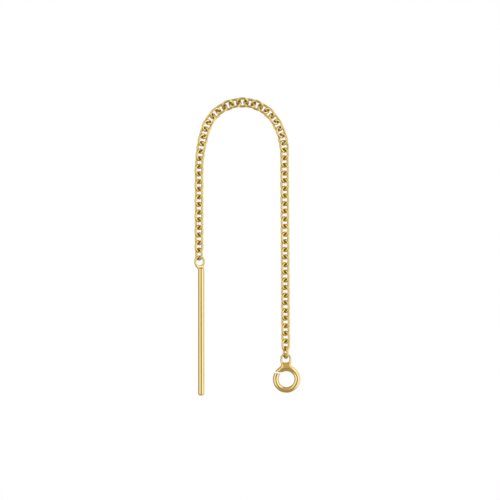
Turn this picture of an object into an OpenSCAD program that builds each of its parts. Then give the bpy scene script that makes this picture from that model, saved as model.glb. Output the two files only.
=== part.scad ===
// Threader earring: a straight bar, a cable chain and an open ring.
// Millimetres, hanging down from the crown of the arch, which is the origin. +Z is up and the arch faces along Y.

/* [Post] */
// Diameter of the straight bar that is threaded through the ear
post_d = 0.81; // [0.7:0.01:0.95]
// Length of the bar
post_len = 16.5; // [12:0.1:30]
// Rounding of the bar's free tip
tip_round = 0.25; // [0.1:0.01:0.33]
// Rounding of the bar's other end, under its end link
head_round = 0.3; // [0.1:0.01:0.33]
// How far the bar sits beside the middle of its end link
post_offset = 0.23; // [0:0.01:0.25]

/* [Chain] */
// Wire of a link
link_wire = 0.27; // [0.2:0.01:0.28]
// Width of a link, outside
link_w = 1.38; // [1.36:0.01:1.5]
// Length of a link, outside
link_len = 1.66; // [1.64:0.01:1.9]
// Play between two links in the straight legs
link_play = 0.145; // [0.12:0.005:0.18]
// Play between two links in the arch, on the bar's side
left_arch_play = 0.165; // [0.15:0.005:0.2]
// Play between two links in the arch, on the ring's side
right_arch_play = 0.175; // [0.15:0.005:0.2]
// Turn of each link about the chain's run, one way and then the other
link_roll = 45; // [43:1:47]
// The same turn in the arch, where the slack links lie flatter
arch_roll = 33; // [32:1:45]
// Turn of the link that carries the bar
post_link_roll = 50; // [45:1:55]
// Turn of the link that carries the ring
ring_link_roll = 66; // [64:1:90]
// Links below the crown, on the bar's side
left_links = 23; // [16:1:40]
// Links below the crown, on the ring's side
right_links = 36; // [16:1:50]

/* [Arch] */
// Radius of the crown
crown_r = 4.94; // [4.5:0.01:8]
// Turn of the crown before the side begins, on the bar's side
left_turn = 73; // [50:1:80]
// Radius of the side, on the bar's side
left_side_r = 18.8; // [7:0.1:20]
// Turn of the crown before the side begins, on the ring's side
right_turn = 58; // [50:1:80]
// Radius of the side, on the ring's side
right_side_r = 7.8; // [7:0.1:20]
// How far the leg with the ring leans out
right_lean = 0.35; // [0:0.05:1]
// Slack links on each side of the crown
arch_links = 9; // [5:1:14]

/* [End links] */
// Wire of the link that is soldered to the bar, and of the one on the ring
eye_wire = 0.25; // [0.2:0.01:0.28]
// Width of an end link, outside
eye_w = 1.39; // [1.36:0.01:1.5]
// Length of an end link, outside
eye_len = 1.6; // [1.58:0.01:1.8]
// Turn of the bar's end link out of the arch's plane
post_eye_roll = 18; // [15:1:30]
// How far the bar's end link hangs beside the chain
post_eye_offset = 0.06; // [0:0.01:0.12]
// Play between the bar's end link and the chain
post_eye_play = 0.135; // [0.12:0.005:0.18]
// Play between the ring's end link and the chain
ring_eye_play = 0.235; // [0.12:0.005:0.26]

/* [Open ring] */
// Outer diameter of the ring
ring_d = 3.5; // [3:0.1:6]
// Wire of the ring
ring_wire = 0.75; // [0.6:0.01:0.95]
// How far the ring's centre is beside its end link
ring_offset = 0.1; // [0:0.01:0.2]
// Where the ring is cut open, from +X
cut_at = 143.5; // [125:0.5:230]
// Gap between the ring's two ends
cut_gap = 0.18; // [0.1:0.01:0.4]
// Lean of the cut from square across the wire
cut_lean = 29; // [0:1:40]

/* [Solder] */
// Depth that the bar's end link is let into the bar
post_sink = 0.22; // [0.15:0.01:0.3]
// Depth that the ring's end link is let into the ring
ring_sink = 0.02; // [0.01:0.01:0.1]
// How high the solder stands in the foot of an end link
solder_fill = 0.12; // [0.05:0.01:0.2]
// Thickness of the solder round the foot of the bar's end link
post_solder_t = 0.32; // [0.3:0.01:0.5]
// Thickness of the solder between the ring and its end link
ring_solder_t = 0.42; // [0.3:0.01:0.6]
// Hollow of the solder between the ring and its end link
ring_solder_r = 0.34; // [0.2:0.01:0.6]
// How far the edges of the solder run into the metal
solder_lap = 0.03; // [0.01:0.01:0.06]

/* [Hidden] */
$fn = 48;

gold = [0.88, 0.72, 0.38];

// How far apart two links lie
link_in = link_len - 2 * link_wire;
leg_pitch = link_in - link_play;
left_arch_pitch = link_in - left_arch_play;
right_arch_pitch = link_in - right_arch_play;

// An end link, and where its lower bend is, from the end link's middle
eye_in = eye_len - 2 * eye_wire;
eye_r = eye_w / 2;
eye_mid_r = (eye_w - eye_wire) / 2;
foot_z = -(eye_len - eye_w) / 2;
// Solder in the foot of an end link's hole, from the lower bend's middle
fill_z = solder_fill + eye_wire / 2 - eye_mid_r;
fill_x = sqrt(eye_mid_r * eye_mid_r - fill_z * fill_z);

post_r = post_d / 2;
post_top_z = -eye_len / 2 + post_sink;

// The ring's centre, from the lower bend's middle of its end link
ring_mid_r = (ring_d - ring_wire) / 2;
ring_span = ring_d / 2 + eye_r - ring_sink;
ring_drop = sqrt(ring_span * ring_span - ring_offset * ring_offset);

// Length of chain from the crown's middle to the link that is n links away
function run_to(n, arch_pitch) = min(n, arch_links) * arch_pitch + max(n - arch_links, 0) * leg_pitch;

// Out, down and slope of one half of the route, a length s from the crown's middle
function half_route(s, turn, side_r, leg_slope) =
    let (
        crown_run = crown_r * turn * PI / 180,
        past = max(s - crown_run, 0),
        leg_run = max(past - side_r * (leg_slope - turn) * PI / 180, 0),
        bent = min(s / crown_r * 180 / PI, turn),
        slope = min(bent + past / side_r * 180 / PI, leg_slope)
    )
    [
        crown_r * sin(bent) + side_r * (sin(slope) - sin(bent)) + leg_run * cos(leg_slope),
        crown_r * (1 - cos(bent)) + side_r * (cos(bent) - cos(slope)) + leg_run * sin(leg_slope),
        slope
    ];

// Across, up and slope of link i, counted from the crown, with the bar's side below zero
function link_at(i) =
    let (
        side = i < 0 ? -1 : 1,
        p = i < 0
            ? half_route(run_to(-i, left_arch_pitch), left_turn, left_side_r, 90)
            : half_route(run_to(i, right_arch_pitch), right_turn, right_side_r, 90 - right_lean)
    )
    [side * p[0], -p[1], side * p[2]];

// Turn of link i about the chain's run
function roll_of(i) =
    let (
        turn = i == -left_links ? post_link_roll
            : i == right_links ? ring_link_roll
            : abs(i) <= arch_links ? arch_roll : link_roll
    )
    i % 2 == 0 ? turn : -turn;

// The middle of the end link that hangs from link i
function end_link_at(i, play) = link_at(i) - [0, (link_in + eye_in) / 2 - play, 0];

post_eye_at = end_link_at(-left_links, post_eye_play) + [post_eye_offset, 0, 0];
ring_eye_at = end_link_at(right_links, ring_eye_play);
// The bar's end link turns away from the link that carries it
post_turn = roll_of(-left_links) < 0 ? post_eye_roll : -post_eye_roll;

// An oval of round wire, long along X and flat in the plane of X and Z
module oval(w, len, wire) {
    bend_r = (w - wire) / 2;
    side = len - w;
    rotate([90, 0, 0])
        for (end = [0, 180])
            rotate(end) {
                translate([side / 2, 0])
                    rotate(-90)
                        rotate_extrude(angle = 180)
                            translate([bend_r, 0])
                                circle(d = wire);
                translate([-side / 2, bend_r, 0])
                    rotate([0, 90, 0])
                        cylinder(d = wire, h = side);
            }
}

// An end link stands upright, with its lower bend's middle at the origin
module end_link() {
    translate([0, 0, -foot_z])
        rotate([0, 90, 0])
            oval(eye_w, eye_len, eye_wire);
}

// Section of a rounded end of the bar, with the end itself on the X axis
module bar_end(corner_r) {
    square([post_r - corner_r, corner_r]);
    intersection() {
        translate([post_r - corner_r, corner_r])
            circle(corner_r);
        square([post_r, corner_r]);
    }
}

// Round bar with both ends rounded, top end at the origin
module bar() {
    translate([0, 0, -post_len])
        rotate_extrude() {
            bar_end(tip_round);
            translate([0, tip_round])
                square([post_r, post_len - tip_round - head_round]);
            translate([0, post_len])
                mirror([0, 1])
                    bar_end(head_round);
        }
}

// Web of solder from the lower half of the end link to the shoulders of the bar
module post_solder() {
    side = (eye_r - solder_lap) * cos(45);
    shoulder_x = sqrt(post_r * post_r - post_solder_t * post_solder_t / 4) - solder_lap;
    shoulder_z = post_top_z - foot_z - head_round - solder_lap;
    rotate([90, 0, 0])
        linear_extrude(post_solder_t, center = true)
            polygon([
                [-fill_x, fill_z], [fill_x, fill_z], [side, -side],
                [post_offset + shoulder_x, shoulder_z], [post_offset - shoulder_x, shoulder_z], [-side, -side]
            ]);
}

// Web of solder between the end link and the ring, hollow on both sides, along the line between their centres
module ring_solder() {
    link_r = eye_r - solder_lap;
    ring_r = ring_d / 2 - solder_lap;
    near = link_r + ring_solder_r;
    far = ring_r + ring_solder_r;
    at_link = acos((near * near + ring_span * ring_span - far * far) / (2 * near * ring_span));
    at_ring = acos((far * far + ring_span * ring_span - near * near) / (2 * far * ring_span));
    out = [sin(at_link), -cos(at_link)];
    link_touch = link_r * out;
    ring_touch = [ring_r * sin(at_ring), ring_r * cos(at_ring) - ring_span];
    rotate([90, -atan2(ring_offset, ring_drop), 0])
        linear_extrude(ring_solder_t, center = true)
            difference() {
                polygon([
                    [-fill_x, fill_z], [fill_x, fill_z], link_touch, ring_touch,
                    [0, ring_mid_r - ring_span],
                    [-ring_touch[0], ring_touch[1]], [-link_touch[0], link_touch[1]]
                ]);
                for (side = [-1, 1])
                    translate([side * near * out[0], near * out[1]])
                        circle(ring_solder_r);
            }
}

// Ring of round wire, cut through once at a lean
module cut_ring() {
    rotate([90, 0, 0])
        difference() {
            rotate_extrude()
                translate([ring_mid_r, 0])
                    circle(d = ring_wire);
            rotate(cut_at)
                translate([ring_mid_r, 0, 0])
                    rotate(cut_lean)
                        cube([2 * ring_wire, cut_gap, 2 * ring_wire], center = true);
        }
}

module post() {
    color(gold)
        translate([post_eye_at[0], 0, post_eye_at[1] + foot_z])
            rotate(post_turn) {
                end_link();
                post_solder();
                translate([post_offset, 0, post_top_z - foot_z])
                    bar();
            }
}

module chain() {
    color(gold)
        for (i = [-left_links : right_links])
            let (at = link_at(i))
                translate([at[0], 0, at[1]])
                    rotate([0, at[2], 0])
                        rotate([roll_of(i), 0, 0])
                            oval(link_w, link_len, link_wire);
}

module open_ring() {
    color(gold)
        translate([ring_eye_at[0], 0, ring_eye_at[1] + foot_z]) {
            end_link();
            ring_solder();
            translate([ring_offset, 0, -ring_drop])
                cut_ring();
        }
}

post();
chain();
open_ring();
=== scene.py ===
import math

import bpy
import numpy as np
from mathutils import Matrix, Vector


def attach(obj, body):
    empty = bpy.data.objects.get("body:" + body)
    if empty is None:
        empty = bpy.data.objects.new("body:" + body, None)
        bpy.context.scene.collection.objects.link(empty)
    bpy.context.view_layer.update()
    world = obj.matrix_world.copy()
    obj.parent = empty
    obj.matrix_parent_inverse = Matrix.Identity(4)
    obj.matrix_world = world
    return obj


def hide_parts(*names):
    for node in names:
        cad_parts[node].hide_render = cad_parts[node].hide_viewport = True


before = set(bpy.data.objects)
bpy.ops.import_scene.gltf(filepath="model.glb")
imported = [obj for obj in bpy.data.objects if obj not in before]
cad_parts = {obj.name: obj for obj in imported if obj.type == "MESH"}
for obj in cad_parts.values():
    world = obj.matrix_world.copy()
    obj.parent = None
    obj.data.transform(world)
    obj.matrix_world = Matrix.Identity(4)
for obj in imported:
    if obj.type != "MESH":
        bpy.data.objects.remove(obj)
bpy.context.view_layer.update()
mm = 0.001
print("frame loaded:", ", ".join(sorted(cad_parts)))

# The chain: oval links on a route of arcs and two straight legs, with the crown link at the origin
chain = {
    "sideWire": 0.31 * mm,
    "bendWire": 0.357 * mm,         # thick enough that neighbours all but touch
    "width": 1.42 * mm,
    "length": 1.7 * mm,
    "legPitch": 0.975 * mm,         # from link to link
    "leftArchPitch": 0.955 * mm,
    "rightArchPitch": 0.945 * mm,
    "roll": 43,                     # degrees out of the picture, one way and then the other
    "archRoll": 33,
    "barRoll": 50,                  # the link that carries the bar
    "ringRoll": 68,                 # the link that carries the ring
    "leftLinks": 23,
    "rightLinks": 36,
    "archLinks": 9,                 # slack links on each side of the crown
    "crownRadius": 4.94 * mm,
    "leftTurn": 73,                 # degrees that the crown turns before the side begins
    "leftSideRadius": 18.8 * mm,
    "rightTurn": 58,
    "rightSideRadius": 7.8 * mm,
    "rightLean": 0.35,              # degrees that the ring's leg leans out
    "bendSteps": 24,
    "sideSteps": 4,
    "wireSides": 20,
    "seamRise": 0.03,               # swelling where a link was closed, as a share of its wire
    "seamLength": 0.07 * mm,
    "edgeShadeStrength": 0.3,               # how strong the painted shade is where the wire turns away from view
    "grainShift": 10 * mm,          # from one link's grain to the next one's
    "toneSeed": 7,
}
# The small oval links that are soldered to the bar and to the ring
endLink = {
    "wire": 0.27 * mm,
    "width": 1.41 * mm,
    "length": 1.61 * mm,
    "barHang": 0.975 * mm,          # below the middle of the last link, for the bar and for the ring
    "ringHang": 0.875 * mm,
    "barBeside": 0.06 * mm,         # how far the bar's end link hangs beside the chain
    "barTurn": 18,                  # degrees out of the picture
    "edgeShadeStrength": 0.9,               # how strong the painted shade is where the wire turns away from view
    "edgeShadeBlend": 0.1 * mm,          # how far from the bar or the ring the painted edge shade is full
    "solderBlend": 0.04 * mm,       # how far from the bare metal the solder's colour is full
}


# Length of chain from the crown to the link that is n links away
def runTo(n, archPitch):
    return min(n, chain["archLinks"]) * archPitch + max(n - chain["archLinks"], 0) * chain["legPitch"]


# Out, down and slope of one half of the route, after a run from the crown
def halfRoute(run, turn, sideRadius, legSlope):
    turn, legSlope = math.radians(turn), math.radians(legSlope)
    crown = chain["crownRadius"]
    past = max(run - crown * turn, 0)
    legRun = max(past - sideRadius * (legSlope - turn), 0)
    bent = min(run / crown, turn)
    slope = min(bent + past / sideRadius, legSlope)
    out = crown * math.sin(bent) + sideRadius * (math.sin(slope) - math.sin(bent))
    down = crown * (1 - math.cos(bent)) + sideRadius * (math.cos(bent) - math.cos(slope))
    return out + legRun * math.cos(legSlope), down + legRun * math.sin(legSlope), slope


# Middle and slope of link i, with the bar's side below zero
def linkAt(i):
    if i < 0:
        run = runTo(-i, chain["leftArchPitch"])
        out, down, slope = halfRoute(run, chain["leftTurn"], chain["leftSideRadius"], 90)
        return Vector((-out, 0, -down)), -slope
    run = runTo(i, chain["rightArchPitch"])
    out, down, slope = halfRoute(run, chain["rightTurn"], chain["rightSideRadius"], 90 - chain["rightLean"])
    return Vector((out, 0, -down)), slope


# Turn of link i about the chain's run
def rollOf(i):
    roll = chain["archRoll"] if abs(i) <= chain["archLinks"] else chain["roll"]
    if i == -chain["leftLinks"]:
        roll = chain["barRoll"]
    if i == chain["rightLinks"]:
        roll = chain["ringRoll"]
    return math.radians(roll if i % 2 == 0 else -roll)


# Middle of the lower bend of the end link that hangs from link i
def lowerBendAt(i, hang):
    return linkAt(i)[0] - Vector((0, 0, hang + (endLink["length"] - endLink["width"]) / 2))


# A mesh object from arrays of points and faces, with its smooth normals and extra values for the material
def meshObject(name, points, faces, normals, extras):
    mesh = bpy.data.meshes.new(name)
    mesh.from_pydata(points.tolist(), [], faces.tolist())
    for key, values in extras.items():
        kind = "FLOAT_VECTOR" if values.ndim == 2 else "FLOAT"
        layer = mesh.attributes.new(key, kind, "POINT")
        layer.data.foreach_set("vector" if values.ndim == 2 else "value", values.astype(np.float32).ravel())
    mesh.shade_smooth()
    mesh.normals_split_custom_set_from_vertices(normals.tolist())
    mesh.validate()
    obj = bpy.data.objects.new(name, mesh)
    bpy.context.scene.collection.objects.link(obj)
    return obj


# One link, long along X and flat in XZ: round wire along two bends and two short sides
def linkForm():
    half = (chain["length"] - chain["width"]) / 2
    angles = np.linspace(-math.pi / 2, math.pi / 2, chain["bendSteps"] + 1)
    outward = np.stack([np.cos(angles), 0 * angles, np.sin(angles)], 1)
    # the wire is fullest at the very end of a bend, and its outer edge stays where it is
    bendWire = chain["sideWire"] + (chain["bendWire"] - chain["sideWire"]) * np.cos(angles) ** 2
    right = outward * (chain["width"] - bendWire[:, None]) / 2 + [half, 0, 0]
    share = np.linspace(0, 1, chain["sideSteps"] + 1)[1:-1, None]
    upper = [half, 0, (chain["width"] - chain["sideWire"]) / 2] + share * [-2 * half, 0, 0]
    up = np.repeat([[0, 0, 1.0]], len(upper), 0)
    sideWire = np.full(len(upper), chain["sideWire"])
    line = np.concatenate([right, upper, -right, -upper])
    away = np.concatenate([outward, up, -outward, -up])
    wire = np.concatenate([bendWire, sideWire, bendWire, sideWire])
    steps = np.linalg.norm(np.roll(line, -1, 0) - line, axis=1)
    along = np.concatenate([[0], np.cumsum(steps)[:-1]])
    # the wire's ends meet in the middle of the upper side
    seamAt = along[len(right) + len(upper) // 2]
    swell = 1 + chain["seamRise"] * np.exp(-((along - seamAt) / chain["seamLength"]) ** 2)
    return sweptWire(line, away, along, wire / 2 * swell)


# Skin of round wire on a closed line in XZ. away points out of the loop at each point of the line
def sweptWire(line, away, along, radius):
    around = np.arange(chain["wireSides"]) * 2 * math.pi / chain["wireSides"]
    inPlane, outOfPlane = np.cos(around)[None, :, None], np.sin(around)[None, :, None]
    facing = inPlane * away[:, None] + outOfPlane * np.array([0, 1.0, 0])
    points = line[:, None] + radius[:, None, None] * facing
    lengthwise = np.roll(points, -1, 0) - np.roll(points, 1, 0)
    crosswise = np.roll(points, -1, 1) - np.roll(points, 1, 1)
    normals = np.cross(lengthwise, crosswise)
    outwards = np.sign((normals * facing).sum(-1, keepdims=True))
    normals *= outwards / np.linalg.norm(normals, axis=-1, keepdims=True)
    here = np.arange(len(line) * len(around)).reshape(len(line), len(around))
    nextRing = np.roll(here, -1, 0)
    faces = np.stack([here, np.roll(here, -1, 1), np.roll(nextRing, -1, 1), nextRing], -1)
    across, deep = radius[:, None] * np.cos(around), radius[:, None] * np.sin(around)
    way = np.stack(np.broadcast_arrays(along[:, None], across, deep), -1)
    return points.reshape(-1, 3), faces.reshape(-1, 4), normals.reshape(-1, 3), way.reshape(-1, 3)


def makeChain():
    points, faces, normals, way = linkForm()
    tones = np.random.default_rng(chain["toneSeed"])
    parts = {"points": [], "faces": [], "normals": [], "way": [], "tone": []}
    for count, i in enumerate(range(-chain["leftLinks"], chain["rightLinks"] + 1)):
        middle, slope = linkAt(i)
        turn = np.array(Matrix.Rotation(slope, 3, "Y") @ Matrix.Rotation(rollOf(i), 3, "X"))
        parts["points"].append(points @ turn.T + np.array(middle))
        parts["normals"].append(normals @ turn.T)
        parts["faces"].append(faces + count * len(points))
        parts["way"].append(way + [count * chain["grainShift"], 0, 0])
        parts["tone"].append(np.full(len(points), tones.uniform(-1, 1)))
    whole = {key: np.concatenate(values) for key, values in parts.items()}
    none = np.zeros(len(whole["points"]))
    # painted shade where the wire turns away from view, the same on every link
    edgeShadeWeight = none + chain["edgeShadeStrength"]
    extras = {"wireWay": whole["way"], "tone": whole["tone"], "solder": none, "edgeShadeWeight": edgeShadeWeight}
    return meshObject("cable_chain", whole["points"], whole["faces"], whole["normals"], extras)


# Distances to plain forms, below zero inside the metal. p is an array of points
def ovalWire(p, link):
    bend = (link["width"] - link["wire"]) / 2
    half = (link["length"] - link["width"]) / 2
    # the origin is the lower bend's middle, which is half below the middle of the link
    above = p[..., 2] - half
    beyond = above - np.clip(above, -half, half)
    return np.hypot(np.hypot(p[..., 0], beyond) - bend, p[..., 1]) - link["wire"] / 2


def roundRing(p, middleRadius, wire):
    return np.hypot(np.hypot(p[..., 0], p[..., 2]) - middleRadius, p[..., 1]) - wire / 2


# What is inside both of two forms, with a rounded edge where they meet
def roundedEdge(a, b, radius):
    a, b = a + radius, b + radius
    return np.hypot(np.maximum(a, 0), np.maximum(b, 0)) + np.minimum(np.maximum(a, b), 0) - radius


def roundBar(p, radius, length, headRound, tipRound):
    up = p[..., 2] + length / 2
    corner = np.where(up > 0, headRound, tipRound)
    return roundedEdge(np.hypot(p[..., 0], p[..., 1]) - radius, np.abs(up) - length / 2, corner)


# A web with rounded edges. flat is the distance to its outline in XZ
def webOf(flat, y, thickness, edgeRound):
    return roundedEdge(flat, np.abs(y) - thickness / 2, edgeRound)


# Distance to a closed outline of straight edges in XZ, below zero inside
def outlineDistance(x, z, corners):
    near = np.full(x.shape, np.inf)
    inside = np.zeros(x.shape, bool)
    for (ax, az), (bx, bz) in zip(corners, corners[1:] + corners[:1]):
        dx, dz = bx - ax, bz - az
        share = np.clip(((x - ax) * dx + (z - az) * dz) / (dx * dx + dz * dz), 0, 1)
        near = np.minimum(near, np.hypot(x - ax - share * dx, z - az - share * dz))
        if dz != 0:
            inside ^= ((az > z) != (bz > z)) & (x < ax + (z - az) * dx / dz)
    return np.where(inside, -near, near)


# Joins two forms with a fillet, or cuts one with a softened edge
def softJoin(a, b, fillet):
    near = np.maximum(fillet - np.abs(a - b), 0) / fillet
    return np.minimum(a, b) - near * near * fillet / 4


def softCut(a, b, edge):
    return -softJoin(-a, b, edge)


# Closed quad mesh of the skin of a form, on a grid whose steps may differ along each axis
def skinOf(form, axes, rounds=4):
    value = form(np.stack(np.meshgrid(*axes, indexing="ij"), -1))
    cells = np.array(value.shape) - 1
    total, count, quads = np.zeros((cells.prod(), 3)), np.zeros(cells.prod()), []
    for a in range(3):
        b, c = (a + 1) % 3, (a + 2) % 3
        start = value.take(range(cells[a]), a)
        stop = value.take(range(1, cells[a] + 1), a)
        edge = np.argwhere((start < 0) != (stop < 0))
        first, last = start[tuple(edge.T)], stop[tuple(edge.T)]
        place = np.stack([axes[k][edge[:, k]] for k in range(3)], 1)
        place[:, a] += first / (first - last) * (axes[a][edge[:, a] + 1] - axes[a][edge[:, a]])
        corner = []
        for stepB, stepC in ((1, 1), (0, 1), (0, 0), (1, 0)):
            cell = edge.copy()
            cell[:, b] -= stepB
            cell[:, c] -= stepC
            corner.append(np.ravel_multi_index(cell.T, cells))
            np.add.at(total, corner[-1], place)
            np.add.at(count, corner[-1], 1)
        quad = np.stack(corner, 1)
        quads.append(np.where((first < 0)[:, None], quad, quad[:, ::-1]))
    used = np.flatnonzero(count)
    number = np.zeros(len(count), int)
    number[used] = np.arange(len(used))
    points = total[used] / count[used, None]
    # each round draws the points closer to the skin itself
    for _ in range(rounds):
        slope = slopeOf(form, points)
        points -= form(points)[:, None] * slope / (slope ** 2).sum(1, keepdims=True)
    slope = slopeOf(form, points)
    return points, number[np.concatenate(quads)], slope / np.linalg.norm(slope, axis=1, keepdims=True)


def slopeOf(form, points):
    nudge = 0.002 * mm
    steps = np.eye(3) * nudge
    return np.stack([form(points + s) - form(points - s) for s in steps], 1) / (2 * nudge)


# Grid lines from one stretch to the next, each with its own step
def gridLines(start, *stretches):
    lines = [start]
    for stop, step in stretches:
        count = math.ceil(abs(stop - lines[-1]) / step)
        lines.extend(np.linspace(lines[-1], stop, count + 1)[1:])
    return np.sort(np.array(lines))


spareCells = 4      # empty cells round a form, at each end of an axis


# Places along and across the straightened wire, for grain that follows it
def ovalWay(p, link):
    bend = (link["width"] - link["wire"]) / 2
    angle = np.arctan2(p[:, 0], p[:, 2])
    return np.stack([angle * bend, np.hypot(p[:, 0], p[:, 2]) - bend, p[:, 1]], 1)


# Values for the material. thick is the distance to the bar or the ring, and thickWay is the way of its grain
def solderedExtras(points, thick, thickWay):
    wire = ovalWire(points, endLink)
    way = np.where((thick < wire)[:, None], thickWay, ovalWay(points, endLink))
    solder = np.clip(np.minimum(thick, wire) / endLink["solderBlend"], 0, 1)
    # painted shade where the end link's wire turns away from view, fading out at the bar or the ring
    edgeShadeWeight = endLink["edgeShadeStrength"] * np.clip((thick - wire) / endLink["edgeShadeBlend"], 0, 1)
    return {"wireWay": way, "tone": np.zeros(len(points)), "solder": solder, "edgeShadeWeight": edgeShadeWeight}


# Half width and height of the solder's top edge, in the lower bend of an end link
def solderTop(fill):
    bend = (endLink["width"] - endLink["wire"]) / 2
    z = fill + endLink["wire"] / 2 - bend
    return math.sqrt(bend * bend - z * z), z


# The bar with its end link: sizes in the frame of the end link's lower bend
bar = {
    "thickness": 0.81 * mm,
    "length": 16.35 * mm,
    "headRound": 0.3 * mm,
    "tipRound": 0.25 * mm,
    "beside": 0.23 * mm,            # beside the middle of the end link
    "sunk": 0.07 * mm,              # how deep the end link sits in the bar
    "solderThickness": 0.26 * mm,
    "solderFill": 0.12 * mm,        # how high the solder stands in the end link
    "solderLap": 0.03 * mm,         # how far its edges run into the metal
    "solderRound": 0.1 * mm,
    "fillet": 0.1 * mm,
    "cell": 0.02 * mm,              # grid step of the mesh
    "shaftCell": 0.3 * mm,          # grid step along the plain shaft
}


def makeBar():
    radius, headZ = bar["thickness"] / 2, bar["sunk"] - endLink["width"] / 2
    topX, topZ = solderTop(bar["solderFill"])
    flank = (endLink["width"] / 2 - bar["solderLap"]) * math.sqrt(0.5)
    shoulderX = math.sqrt(radius ** 2 - bar["solderThickness"] ** 2 / 4) - bar["solderLap"]
    shoulderZ = headZ - bar["headRound"] - bar["solderLap"]
    corners = [
        (-topX, topZ), (topX, topZ), (flank, -flank),
        (bar["beside"] + shoulderX, shoulderZ), (bar["beside"] - shoulderX, shoulderZ), (-flank, -flank),
    ]

    def shaft(p):
        q = p - [bar["beside"], 0, headZ]
        return roundBar(q, radius, bar["length"], bar["headRound"], bar["tipRound"])

    def web(p):
        flat = outlineDistance(p[..., 0], p[..., 2], corners)
        return webOf(flat, p[..., 1], bar["solderThickness"], bar["solderRound"])

    def form(p):
        metal = softJoin(ovalWire(p, endLink), shaft(p), bar["fillet"])
        return softJoin(metal, web(p), bar["fillet"])

    spare = spareCells * bar["cell"]
    linkHalf = endLink["width"] / 2
    tipZ = headZ - bar["length"]
    axes = (
        gridLines(-linkHalf - spare, (linkHalf + spare, bar["cell"])),
        gridLines(-radius - spare, (radius + spare, bar["cell"])),
        gridLines(endLink["length"] - linkHalf + spare,
                  (headZ - 2 * radius, bar["cell"]),
                  (tipZ + 2 * bar["tipRound"], bar["shaftCell"]),
                  (tipZ - spare, bar["cell"])),
    )
    points, faces, normals = skinOf(form, axes)
    extras = solderedExtras(points, shaft(points), points[:, [2, 0, 1]])
    at = lowerBendAt(-chain["leftLinks"], endLink["barHang"]) + Vector((endLink["barBeside"], 0, 0))
    turn = Matrix.Rotation(math.radians(endLink["barTurn"]), 4, "Z")
    place = np.array(Matrix.Translation(at) @ turn)
    points = points @ place[:3, :3].T + place[:3, 3]
    return meshObject("threading_bar", points, faces, normals @ place[:3, :3].T, extras)


# The open ring with its end link: sizes in the frame of the end link's lower bend
ring = {
    "across": 3.5 * mm,
    "wire": 0.75 * mm,
    "beside": 0.1 * mm,
    "sunk": 0.02 * mm,              # how deep the end link sits in the ring
    "cutAt": 143.5,                 # degrees from +X
    "cutGap": 0.215 * mm,
    "cutLean": 29,                  # degrees from square across the wire
    "cutEdge": 0.06 * mm,           # softened edges of the two cut ends
    "solderThickness": 0.26 * mm,   # at the top
    "solderFlare": 0.8,             # how much it thickens below that, as a share of the way down
    "solderFill": 0.12 * mm,
    "solderHollow": 1.25 * mm,      # radius of the hollow on each side
    "solderLap": 0.13 * mm,
    "solderRound": 0.48,            # rounding of its edges, as a share of its thickness
    "fillet": 0.22 * mm,
    "cell": 0.022 * mm,
}


def makeRing():
    middle = (ring["across"] - ring["wire"]) / 2
    linkRadius, ringRadius = endLink["width"] / 2, ring["across"] / 2
    span = ringRadius + linkRadius - ring["sunk"]
    drop = math.sqrt(span ** 2 - ring["beside"] ** 2)
    centre = np.array([ring["beside"], 0, -drop])
    tilt = math.atan2(ring["beside"], drop)
    topX, topZ = solderTop(ring["solderFill"])
    # each hollow of the solder is a circle that ends a lap inside the link and the ring
    near = linkRadius - ring["solderLap"] + ring["solderHollow"]
    far = ringRadius - ring["solderLap"] + ring["solderHollow"]
    atLink = math.acos((near ** 2 + span ** 2 - far ** 2) / (2 * near * span))
    atRing = math.acos((far ** 2 + span ** 2 - near ** 2) / (2 * far * span))
    hollowX, hollowZ = near * math.sin(atLink), -near * math.cos(atLink)
    linkShare = 1 - ring["solderHollow"] / near
    ringTouch = (ringRadius - ring["solderLap"]) * math.sin(atRing)
    ringTouchZ = (ringRadius - ring["solderLap"]) * math.cos(atRing) - span
    half = [(topX, topZ), (hollowX * linkShare, hollowZ * linkShare), (ringTouch, ringTouchZ)]
    corners = half + [(0, middle - span)] + [(-x, z) for x, z in reversed(half)]

    def circle(p):
        return roundRing(p - centre, middle, ring["wire"])

    def slot(p):
        at, lean = math.radians(ring["cutAt"]), math.radians(ring["cutAt"] + ring["cutLean"])
        q = p - centre - middle * np.array([math.cos(at), 0, math.sin(at)])
        across = np.abs(q[..., 2] * math.cos(lean) - q[..., 0] * math.sin(lean)) - ring["cutGap"] / 2
        reach = np.abs(q[..., 0] * math.cos(lean) + q[..., 2] * math.sin(lean)) - ring["wire"]
        return np.maximum(across, reach)

    def web(p):
        x = p[..., 0] * math.cos(tilt) + p[..., 2] * math.sin(tilt)
        z = p[..., 2] * math.cos(tilt) - p[..., 0] * math.sin(tilt)
        flat = outlineDistance(x, z, corners)
        for side in (-1, 1):
            flat = np.maximum(flat, ring["solderHollow"] - np.hypot(x - side * hollowX, z - hollowZ))
        thickness = ring["solderThickness"] + ring["solderFlare"] * np.clip(topZ - z, 0, ring["wire"] / 2)
        return webOf(flat, p[..., 1], thickness, thickness * ring["solderRound"])

    def form(p):
        wire = softCut(circle(p), slot(p), ring["cutEdge"])
        metal = softJoin(ovalWire(p, endLink), wire, ring["fillet"])
        return softJoin(metal, web(p), ring["fillet"])

    spare = spareCells * ring["cell"]
    axes = (
        gridLines(ring["beside"] - ringRadius - spare, (ring["beside"] + ringRadius + spare, ring["cell"])),
        gridLines(-ring["wire"] / 2 - spare, (ring["wire"] / 2 + spare, ring["cell"])),
        gridLines(-drop - ringRadius - spare, (endLink["length"] - linkRadius + spare, ring["cell"])),
    )
    points, faces, normals = skinOf(form, axes)
    q = points - centre
    angle = np.arctan2(q[:, 2], q[:, 0]) - math.radians(ring["cutAt"])
    circleWay = np.stack([angle % (2 * math.pi) * middle, np.hypot(q[:, 0], q[:, 2]) - middle, q[:, 1]], 1)
    extras = solderedExtras(points, circle(points), circleWay)
    points = points + np.array(lowerBendAt(chain["rightLinks"], endLink["ringHang"]))
    return meshObject("charm_ring", points, faces, normals, extras)


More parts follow.
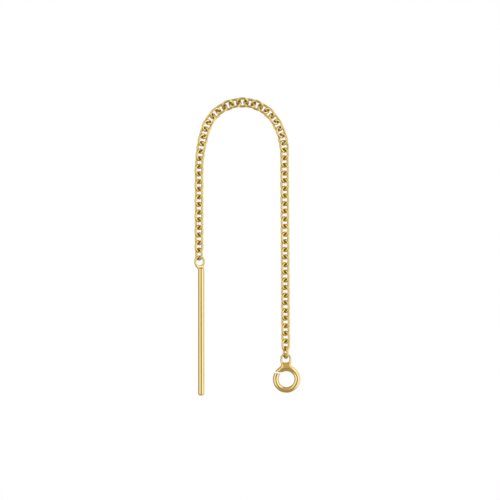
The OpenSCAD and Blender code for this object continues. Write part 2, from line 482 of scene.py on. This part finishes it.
# Pale yellow gold, polished, with the fine marks of drawing and wear along the wire
gold = {
    "edgeColour": (0.80, 0.64, 0.34),       # reflection at a glancing angle
    "solderColour": (0.95, 0.70, 0.28),
    "edgeShadeColour": (0.55, 0.43, 0.15),     # painted shade on fine wire where it turns away from view
    "creviceShadeColour": (0.42, 0.26, 0.02),    # painted shade, dark and dull, where metal closes in on metal
    "creviceMetallic": 0.35,
    "creviceRoughness": 0.45,
    "creviceOpen": 0.95,                    # share of open sky where the painted shade begins
    "creviceFull": 0.45,                    # and where it is full
    "creviceReach": 0.28 * mm,
    "creviceSamples": 8,
    "roughness": (0.06, 0.15),
    "cloudScale": 900,                      # of the soft clouds that the roughness follows
    "cloudDetail": 3,
    "cloudRange": (0.3, 0.7),
    "toneShare": 0.03,                      # how much lighter or darker a link may be
    "lineDetail": 4,
    "lineDepth": 0.0015 * mm,
}
# Each piece's own gold, and how fine its drawn lines are along and across the wire
finishes = {
    "chain": {"name": "tumbledGold", "colour": (0.93, 0.715, 0.26),
              "along": 900, "across": 14000, "relief": 0.5},
    "bar": {"name": "drawnGold", "colour": (0.93, 0.715, 0.285),
            "along": 150, "across": 16000, "relief": 0.6},
    "ring": {"name": "polishedGold", "colour": (0.94, 0.735, 0.32),
             "along": 500, "across": 12000, "relief": 0.5},
}


# A node whose inputs are plain values or the outputs of other nodes
def addNode(tree, kind, inputs, **settings):
    node = tree.nodes.new(kind)
    for key, value in settings.items():
        setattr(node, key, value)
    for key, value in inputs.items():
        if isinstance(value, bpy.types.NodeSocket):
            tree.links.new(value, node.inputs[key])
        else:
            node.inputs[key].default_value = value
    return node


def mixOf(tree, kind, share, first, second):
    inputs = {"Factor": share, "A": first, "B": second}
    return addNode(tree, "ShaderNodeMix", inputs, data_type=kind).outputs["Result"]


# Carries a value from one range over to another
def mapRange(tree, value, before, after, **settings):
    inputs = {
        "Value": value,
        "From Min": before[0],
        "From Max": before[1],
        "To Min": after[0],
        "To Max": after[1],
    }
    return addNode(tree, "ShaderNodeMapRange", inputs, **settings).outputs["Result"]


# The outputs of a value that the mesh holds at each point
def heldValue(tree, key):
    return addNode(tree, "ShaderNodeAttribute", {}, attribute_name=key).outputs


# How far metal closes in on metal, from 0 in the open to 1 in a corner
def creviceOf(tree):
    distance = {"Distance": gold["creviceReach"]}
    sky = addNode(tree, "ShaderNodeAmbientOcclusion", distance, samples=gold["creviceSamples"])
    before = (gold["creviceOpen"], gold["creviceFull"])
    return mapRange(tree, sky.outputs["AO"], before, (0, 1), interpolation_type="SMOOTHSTEP")


# The piece's own gold, deeper in the solder, with painted shade where fine wire turns away from view and
# painted shade in crevices
def colourOf(tree, colour, closed):
    metal = mixOf(tree, "RGBA", heldValue(tree, "solder")["Fac"], (*colour, 1), (*gold["solderColour"], 1))
    # painted shade: darker where the wire turns away from view
    facing = addNode(tree, "ShaderNodeLayerWeight", {}).outputs["Facing"]
    inputs = {0: facing, 1: heldValue(tree, "edgeShadeWeight")["Fac"]}
    edgeShadeAmount = addNode(tree, "ShaderNodeMath", inputs, operation="MULTIPLY").outputs["Value"]
    edgeShaded = mixOf(tree, "RGBA", edgeShadeAmount, metal, (*gold["edgeShadeColour"], 1))
    # painted shade: the colour turns dark brown where metal closes in on metal
    shade = mixOf(tree, "RGBA", closed, edgeShaded, (*gold["creviceShadeColour"], 1))
    # each link is a touch lighter or darker
    after = (1 - gold["toneShare"], 1 + gold["toneShare"])
    lift = mapRange(tree, heldValue(tree, "tone")["Fac"], (-1, 1), after)
    toned = addNode(tree, "ShaderNodeVectorMath", {0: shade, "Scale": lift}, operation="SCALE")
    return toned.outputs["Vector"]


# Broad soft clouds of wear and polish, and dull crevices
def roughnessOf(tree, closed):
    place = addNode(tree, "ShaderNodeTexCoord", {}).outputs["Object"]
    inputs = {"Vector": place, "Scale": gold["cloudScale"], "Detail": gold["cloudDetail"]}
    clouds = addNode(tree, "ShaderNodeTexNoise", inputs).outputs["Fac"]
    polished = mapRange(tree, clouds, gold["cloudRange"], gold["roughness"])
    return mixOf(tree, "FLOAT", closed, polished, gold["creviceRoughness"])


# Long fine lines left by drawing the wire
def drawnLines(tree, finish):
    scale = (finish["along"], finish["across"], finish["across"])
    way = {"Vector": heldValue(tree, "wireWay")["Vector"], "Scale": scale}
    stretched = addNode(tree, "ShaderNodeMapping", way).outputs["Vector"]
    inputs = {"Vector": stretched, "Scale": 1, "Detail": gold["lineDetail"]}
    lines = addNode(tree, "ShaderNodeTexNoise", inputs).outputs["Fac"]
    inputs = {"Strength": finish["relief"], "Distance": gold["lineDepth"], "Height": lines}
    return addNode(tree, "ShaderNodeBump", inputs).outputs["Normal"]


def goldMaterial(finish):
    material = bpy.data.materials.new(finish["name"])
    material.use_nodes = True
    tree = material.node_tree
    shader = tree.nodes["Principled BSDF"]
    shader.inputs["Specular Tint"].default_value = (*gold["edgeColour"], 1)
    # the crevice mask paints shade: darker colour and less metallic where metal closes in on metal
    closed = creviceOf(tree)
    tree.links.new(colourOf(tree, finish["colour"], closed), shader.inputs["Base Color"])
    tree.links.new(mapRange(tree, closed, (0, 1), (1, gold["creviceMetallic"])), shader.inputs["Metallic"])
    tree.links.new(roughnessOf(tree, closed), shader.inputs["Roughness"])
    tree.links.new(drawnLines(tree, finish), shader.inputs["Normal"])
    return material


def finishPiece(piece, body, node, finish):
    piece.data.materials.append(goldMaterial(finish))
    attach(piece, body)
    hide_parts(node)
    print(piece.name, "made,", len(piece.data.polygons), "faces")


finishPiece(makeChain(), "chain", "chain", finishes["chain"])
finishPiece(makeBar(), "post", "post", finishes["bar"])
finishPiece(makeRing(), "open_ring", "open_ring", finishes["ring"])

# The studio: panels of light round the object, a white surround and a pale floor
studio = {
    "middle": Vector((0.954, 0, -18.84)) * mm,      # what the camera looks at
    "frameWidth": 63.86 * mm,                       # what the picture spans from side to side
    "focalLength": 100,
    "sensor": 36,
    "clipNear": 1 * mm,                             # the nearest that the camera sees
    "clipFar": 10,                                  # and the farthest
    "surround": (0.45, 0.39, 0.24),                 # what the metal sees between the panels
    "floorDrop": 90 * mm,
    "floorRadius": 200 * mm,
    "floorSides": 96,
    "floorColour": (0.9, 0.9, 0.89),
    "floorRoughness": 0.9,
    "floorGlow": 0.45,
    # directions and spreads in degrees, from straight in front, with the right and up above zero
    "panels": {
        "leftPanel": {"azimuth": -38, "elevation": 8, "wide": 82, "tall": 90, "glow": 1.05},
        "rightPanel": {"azimuth": 46, "elevation": 9, "wide": 58, "tall": 102, "glow": 1.2},
        "sidePanel": {"azimuth": 107, "elevation": 0, "wide": 44, "tall": 140, "glow": 1.1},
        "backPanel": {"azimuth": 160, "elevation": -8, "wide": 62, "tall": 110, "glow": 0.95},
        "topPanel": {"azimuth": 20, "elevation": 80, "wide": 45, "tall": 40, "glow": 0.3},
    },
    # warm, dim cards in front of the panels
    "cards": {
        "browCard": {"azimuth": 0, "elevation": 54, "wide": 66, "tall": 36, "glow": 0.58},
        "frontCard": {"azimuth": -7, "elevation": 17, "wide": 64, "tall": 52, "glow": 0.50},
        "lowCard": {"azimuth": 0, "elevation": -18, "wide": 42, "tall": 34, "glow": 0.48},
        "footCard": {"azimuth": 0, "elevation": -74, "wide": 72, "tall": 62, "glow": 0.34},
    },
    # a small panel and a darker card in front of those
    "smallPanel": {"azimuth": -20, "elevation": 23, "wide": 24, "tall": 20, "glow": 1.1},
    "darkCard": {"azimuth": 0, "elevation": -10, "wide": 36, "tall": 16, "glow": 0.2},
    "panelTint": (1.0, 1.07, 1.30),                 # a little cool
    "cardTint": (1.0, 0.93, 0.58),                  # warm
    "panelAway": 0.5,                               # metres from the middle
    "cardAway": 0.45,
    "smallPanelAway": 0.44,
    "darkCardAway": 0.42,
    "feather": 0.15,                                # soft edge of a panel, as a share of each side
}


def directionOf(azimuth, elevation):
    a, e = math.radians(azimuth), math.radians(elevation)
    return Vector((math.sin(a) * math.cos(e), -math.cos(a) * math.cos(e), math.sin(e)))


def flatPlate(name, width, height):
    mesh = bpy.data.meshes.new(name)
    x, y = width / 2, height / 2
    mesh.from_pydata([(-x, -y, 0), (x, -y, 0), (x, y, 0), (-x, y, 0)], [], [(0, 1, 2, 3)])
    obj = bpy.data.objects.new(name, mesh)
    bpy.context.scene.collection.objects.link(obj)
    return obj


# Light that fades out towards the edges of its face
def panelLight(name, tint, glow):
    material = bpy.data.materials.new(name)
    material.use_nodes = True
    tree = material.node_tree
    tree.nodes.clear()
    place = addNode(tree, "ShaderNodeTexCoord", {}).outputs["Generated"]
    split = addNode(tree, "ShaderNodeSeparateXYZ", {0: place}).outputs
    edge = (0, studio["feather"])
    fades = []
    for axis in "XY":
        # from nothing at one side to a half in the middle, and back
        inward = addNode(tree, "ShaderNodeMath", {0: split[axis], 1: 0.5}, operation="PINGPONG")
        fades.append(mapRange(tree, inward.outputs["Value"], edge, (0, 1), interpolation_type="SMOOTHSTEP"))
    share = addNode(tree, "ShaderNodeMath", {0: fades[0], 1: fades[1]}, operation="MULTIPLY")
    light = addNode(tree, "ShaderNodeEmission", {"Color": (*tint, 1), "Strength": glow})
    clear = addNode(tree, "ShaderNodeBsdfTransparent", {})
    inputs = {0: share.outputs[0], 1: clear.outputs[0], 2: light.outputs[0]}
    mix = addNode(tree, "ShaderNodeMixShader", inputs)
    addNode(tree, "ShaderNodeOutputMaterial", {"Surface": mix.outputs[0]})
    return material


# A panel of light that the metal sees and the camera doesn't
def makePanel(name, panel, tint, distance):
    reach = 2 * distance
    plate = flatPlate(name, reach * math.tan(math.radians(panel["wide"] / 2)),
                      reach * math.tan(math.radians(panel["tall"] / 2)))
    away = directionOf(panel["azimuth"], panel["elevation"])
    plate.location = studio["middle"] + away * distance
    plate.rotation_euler = away.to_track_quat("Z", "Y").to_euler()
    plate.visible_camera = False
    plate.data.materials.append(panelLight(name + "Light", tint, panel["glow"]))


def makeFloor():
    mesh = bpy.data.meshes.new("paleFloor")
    radius, sides = studio["floorRadius"], studio["floorSides"]
    turns = [2 * math.pi * k / sides for k in range(sides)]
    corners = [(radius * math.cos(t), radius * math.sin(t), 0) for t in turns]
    mesh.from_pydata(corners, [], [tuple(range(sides))])
    floor = bpy.data.objects.new("paleFloor", mesh)
    bpy.context.scene.collection.objects.link(floor)
    floor.location = (0, 0, -studio["floorDrop"])
    floor.visible_glossy = False
    material = bpy.data.materials.new("paleFloor")
    material.use_nodes = True
    shader = material.node_tree.nodes["Principled BSDF"]
    shader.inputs["Base Color"].default_value = (*studio["floorColour"], 1)
    shader.inputs["Roughness"].default_value = studio["floorRoughness"]
    shader.inputs["Emission Color"].default_value = (1, 1, 1, 1)
    shader.inputs["Emission Strength"].default_value = studio["floorGlow"]
    mesh.materials.append(material)


# White for the camera, and a warm dim room for the metal
def makeSurround():
    world = bpy.data.worlds.new("whiteSurround")
    bpy.context.scene.world = world
    world.use_nodes = True
    tree = world.node_tree
    tree.nodes.clear()
    path = addNode(tree, "ShaderNodeLightPath", {}).outputs["Is Camera Ray"]
    room = addNode(tree, "ShaderNodeBackground", {"Color": (*studio["surround"], 1)})
    white = addNode(tree, "ShaderNodeBackground", {"Color": (1, 1, 1, 1)})
    mix = addNode(tree, "ShaderNodeMixShader", {0: path, 1: room.outputs[0], 2: white.outputs[0]})
    addNode(tree, "ShaderNodeOutputWorld", {"Surface": mix.outputs[0]})


def makeCamera():
    camera = bpy.data.cameras.new("camera")
    camera.lens = studio["focalLength"]
    camera.sensor_width = studio["sensor"]
    camera.clip_start = studio["clipNear"]
    camera.clip_end = studio["clipFar"]
    obj = bpy.data.objects.new("camera", camera)
    bpy.context.scene.collection.objects.link(obj)
    away = studio["frameWidth"] * studio["focalLength"] / studio["sensor"]
    obj.location = studio["middle"] + directionOf(0, 0) * away
    obj.rotation_euler = (math.pi / 2, 0, 0)
    bpy.context.scene.camera = obj


for panelName, panelSpec in studio["panels"].items():
    makePanel(panelName, panelSpec, studio["panelTint"], studio["panelAway"])
for cardName, cardSpec in studio["cards"].items():
    makePanel(cardName, cardSpec, studio["cardTint"], studio["cardAway"])
makePanel("smallPanel", studio["smallPanel"], studio["panelTint"], studio["smallPanelAway"])
makePanel("darkCard", studio["darkCard"], studio["cardTint"], studio["darkCardAway"])
makeFloor()
makeSurround()
makeCamera()
bpy.context.scene.view_settings.view_transform = "Standard"
print("studio made:", ", ".join(studio["panels"]))

bpy.context.view_layer.update()
